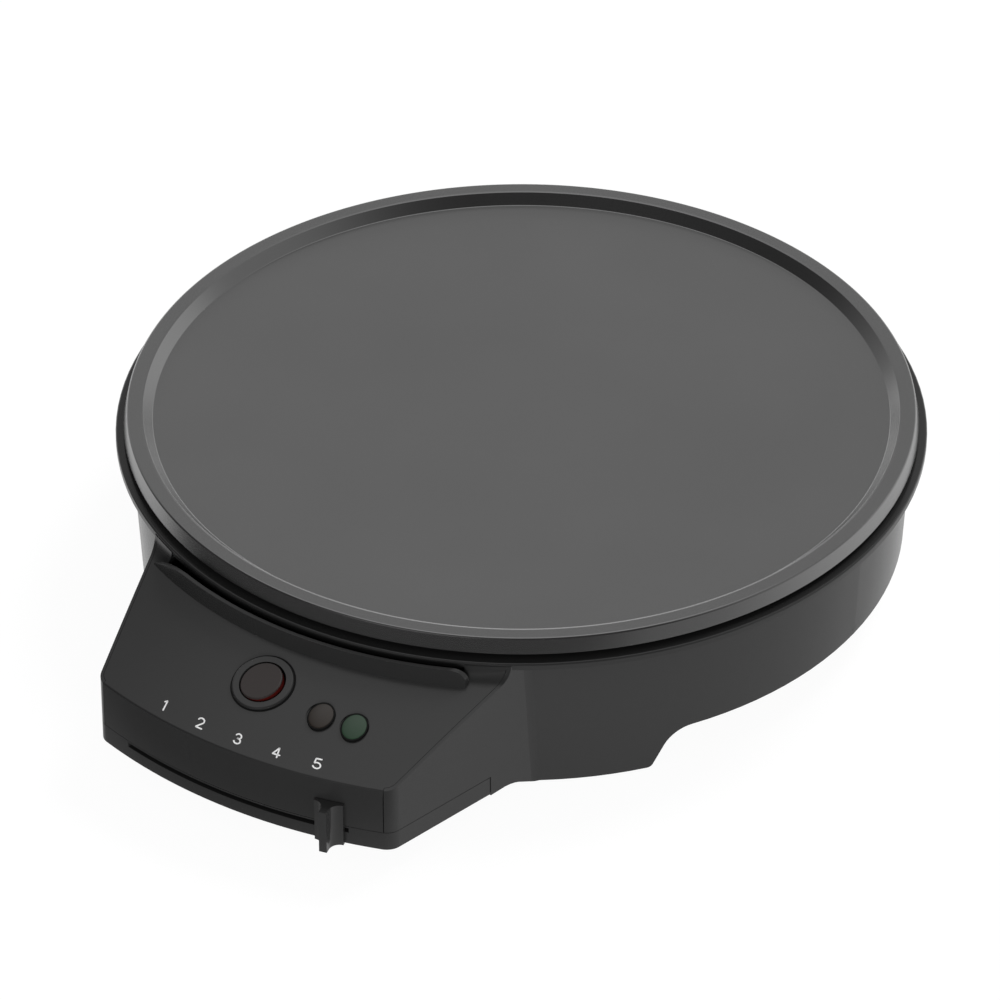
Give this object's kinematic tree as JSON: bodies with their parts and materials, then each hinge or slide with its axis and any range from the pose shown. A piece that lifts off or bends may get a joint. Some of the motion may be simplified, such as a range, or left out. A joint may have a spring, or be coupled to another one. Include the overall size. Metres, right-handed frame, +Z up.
{
  "type": "electric crepe maker",
  "caption": "Round non-stick plate on a low four-legged housing, with a tapered control box that carries a round rocker switch, indicator lamps and a sliding temperature lever.",
  "frame": {"origin": "under the middle of the outline, on the table", "axes": "+Z up, -Y towards the user (control box), +X to the user's right"},
  "size_m": [0.309, 0.3618, 0.07],
  "materials": {
    "coated_plate": "dark non-stick coating, satin",
    "housing_plastic": "dark grey moulded plastic, fine grain",
    "panel_plastic": "dark grey moulded plastic, satin",
    "lever_plastic": "dark grey moulded plastic",
    "switch_plastic": "black glossy plastic",
    "rocker_plastic": "dark red translucent plastic",
    "amber_lens": "smoked red lens",
    "green_lens": "smoked green lens",
    "socket_plastic": "natural heat-proof plastic",
    "lamp_glass": "clear glass",
    "steel": "zinc-plated sheet steel",
    "screw_steel": "zinc-plated steel",
    "element_steel": "heat-stained steel sheath",
    "aluminised": "aluminised sheet",
    "ceramic": "unglazed ceramic",
    "brass": "plain",
    "black_rubber": "matt"
  },
  "bodies": {
    "base": {"cooking_plate": "coated_plate", "heating_element": "element_steel", "element_insulators": "ceramic", "element_clamps": "steel", "clamp_screws": "screw_steel", "heat_shield": "aluminised", "plate_spacers": "steel", "plate_screws": "screw_steel", "shield_screws": "screw_steel", "main_housing": "housing_plastic", "control_panel": "panel_plastic", "control_tray": "housing_plastic", "tray_screws": "screw_steel", "base_cover": "housing_plastic", "base_screws": "screw_steel", "rubber_feet": "black_rubber", "switch_bezel": "switch_plastic", "switch_terminals": "brass", "power_lens": "amber_lens", "ready_lens": "green_lens", "lamp_sockets": "socket_plastic", "neon_lamps": "lamp_glass", "thermostat_plate": "steel", "thermostat_screws": "screw_steel", "thermostat_body": "ceramic", "thermal_fuse": "ceramic", "fuse_clip": "steel", "terminal_block": "socket_plastic", "block_screws": "brass", "cord_gland": "black_rubber", "gland_nut": "socket_plastic"},
    "lever": {"temperature_lever": "lever_plastic", "lever_arm": "steel", "arm_screw": "screw_steel", "thermostat_shaft": "steel"},
    "rocker": {"switch_rocker": "rocker_plastic"}
  },
  "joints": [
    {"name": "lever_swing", "type": "hinge", "parent": "base", "child": "lever", "pos_m": [0, 0.02639, 0.016], "axis": [0, 0, 1], "range_deg": [-23.5, 0]},
    {"name": "rocker_tilt", "type": "hinge", "parent": "base", "child": "rocker", "pos_m": [-0.00274, -0.14809, 0.04571], "axis": [0.0146, 0.9316, 0.3633], "range_deg": [0, 14]}
  ]
}
